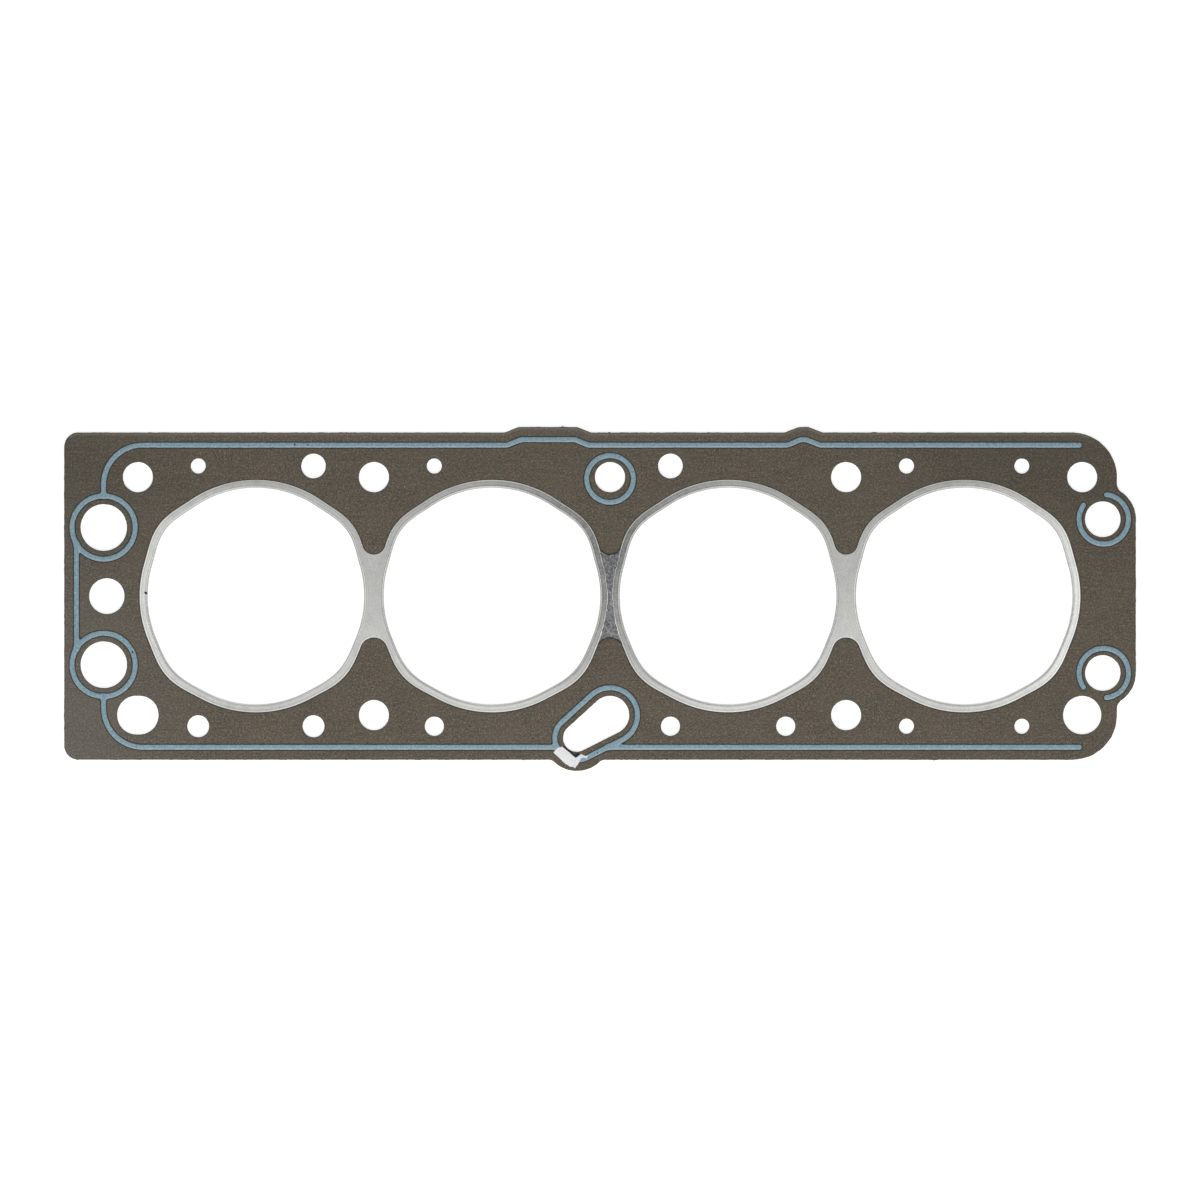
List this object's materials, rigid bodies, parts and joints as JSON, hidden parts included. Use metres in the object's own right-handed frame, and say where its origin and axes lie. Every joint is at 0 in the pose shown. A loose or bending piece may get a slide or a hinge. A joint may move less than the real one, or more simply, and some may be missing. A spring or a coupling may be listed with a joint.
{
  "type": "cylinder head gasket",
  "caption": "Cylinder head gasket for an inline engine: steel core, fibre facings, flanged metal fire rings with valve reliefs, printed sealing beads, bolt, coolant and oil holes.",
  "frame": {"origin": "centre of the head bolt pattern, half way between the two bolt rows and under the middle bolt of the upper row, in the steel core's middle plane", "axes": "+X along the row of bores, from the end with three large holes to the end with the two lobes; +Y towards the row of five head bolt holes; +Z square to the sheet, towards the cylinder head, the face that the picture shows"},
  "size_m": [0.3903, 0.1253, 0.0017],
  "materials": {
    "core": "dull dark grey steel, rough where it shows between the fire rings",
    "facing": "matt brown-grey pressed fibre with a fine mottle and slightly fuzzy punched edges",
    "fire_ring": "satin tinned sheet steel with fine bands that follow the bore",
    "bead": "dusty blue printed sealing compound, semi-matt",
    "film": "thin matt white film"
  },
  "bodies": {
    "root": {"core_plate": "core", "facing_top": "facing", "facing_bottom": "facing", "fire_ring_left": "fire_ring", "fire_ring_right": "fire_ring", "edge_bead_top": "bead", "bolt_bead_top": "bead", "oil_bead_upper_top": "bead", "oil_bead_lower_top": "bead", "edge_bead_bottom": "bead", "bolt_bead_bottom": "bead", "oil_bead_upper_bottom": "bead", "oil_bead_lower_bottom": "bead", "torn_film": "film"}
  },
  "joints": []
}
